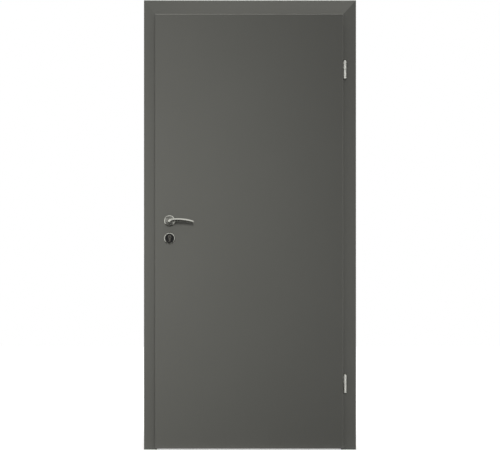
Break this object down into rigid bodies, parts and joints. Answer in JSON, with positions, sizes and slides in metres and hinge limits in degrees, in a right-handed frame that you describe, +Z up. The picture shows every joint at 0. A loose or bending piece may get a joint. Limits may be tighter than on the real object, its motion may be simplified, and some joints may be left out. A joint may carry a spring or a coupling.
{
  "type": "interior door",
  "caption": "Rebated flush interior door leaf hung on barrel hinges in a lining-and-casing frame, with lever handles on round rosettes and a keyed lock.",
  "frame": {"origin": "on the wall face of the hinge-side lining, at floor level and half the wall's depth", "axes": "+Z up; +X out of the hinge-side lining into the wall; +Y through the wall, away from the side that the leaf opens to"},
  "size_m": [0.972, 0.2557, 2.059],
  "materials": {
    "frame_lacquer": "satin warm grey lacquer",
    "leaf_lacquer": "satin warm grey lacquer",
    "seal_rubber": "matt",
    "washer_plastic": "matt pale grey",
    "hinge_nickel": "satin nickel plate",
    "inlay_black": "black",
    "satin_steel": "satin",
    "cylinder_nickel": "nickel plated",
    "plate_steel": "satin",
    "lock_steel": "plain"
  },
  "bodies": {
    "frame": {"lining_hinge_side": "frame_lacquer", "lining_lock_side": "frame_lacquer", "lining_head": "frame_lacquer", "casing_front_hinge_side": "frame_lacquer", "casing_front_lock_side": "frame_lacquer", "casing_front_head": "frame_lacquer", "casing_rear_hinge_side": "frame_lacquer", "casing_rear_lock_side": "frame_lacquer", "casing_rear_head": "frame_lacquer", "seal_hinge_side": "seal_rubber", "seal_lock_side": "seal_rubber", "seal_head": "seal_rubber", "strike_plate": "plate_steel", "hinge_frame_knuckle_upper": "hinge_nickel", "hinge_frame_knuckle_lower": "hinge_nickel", "hinge_pin_upper": "hinge_nickel", "hinge_pin_lower": "hinge_nickel", "hinge_washer_upper": "washer_plastic", "hinge_washer_lower": "washer_plastic"},
    "leaf": {"leaf_panel": "leaf_lacquer", "hinge_leaf_knuckle_upper": "hinge_nickel", "hinge_leaf_knuckle_lower": "hinge_nickel", "lock_faceplate": "plate_steel", "latch_bolt": "lock_steel", "dead_bolt": "lock_steel", "lever_rosette_front": "satin_steel", "lever_rosette_rear": "satin_steel", "key_rosette_front": "satin_steel", "key_rosette_rear": "satin_steel", "key_inlay_front": "inlay_black", "key_inlay_rear": "inlay_black", "cylinder_body": "cylinder_nickel", "cylinder_plug_front": "cylinder_nickel", "cylinder_plug_rear": "cylinder_nickel"},
    "lever_handle": {"lever_front": "satin_steel", "lever_rear": "satin_steel", "spindle": "lock_steel"}
  },
  "joints": [
    {"name": "door_swing", "type": "hinge", "parent": "frame", "child": "leaf", "pos_m": [0.001, -0.10375, 0], "axis": [0, 0, 1], "range_deg": [0, 170]},
    {"name": "lever_turn", "type": "hinge", "parent": "leaf", "child": "lever_handle", "pos_m": [-0.7995, -0.091, 1.048], "axis": [0, 1, 0], "range_deg": [0, 40], "stiffness_Nm_per_rad": 2, "springref_deg": -28.65}
  ]
}
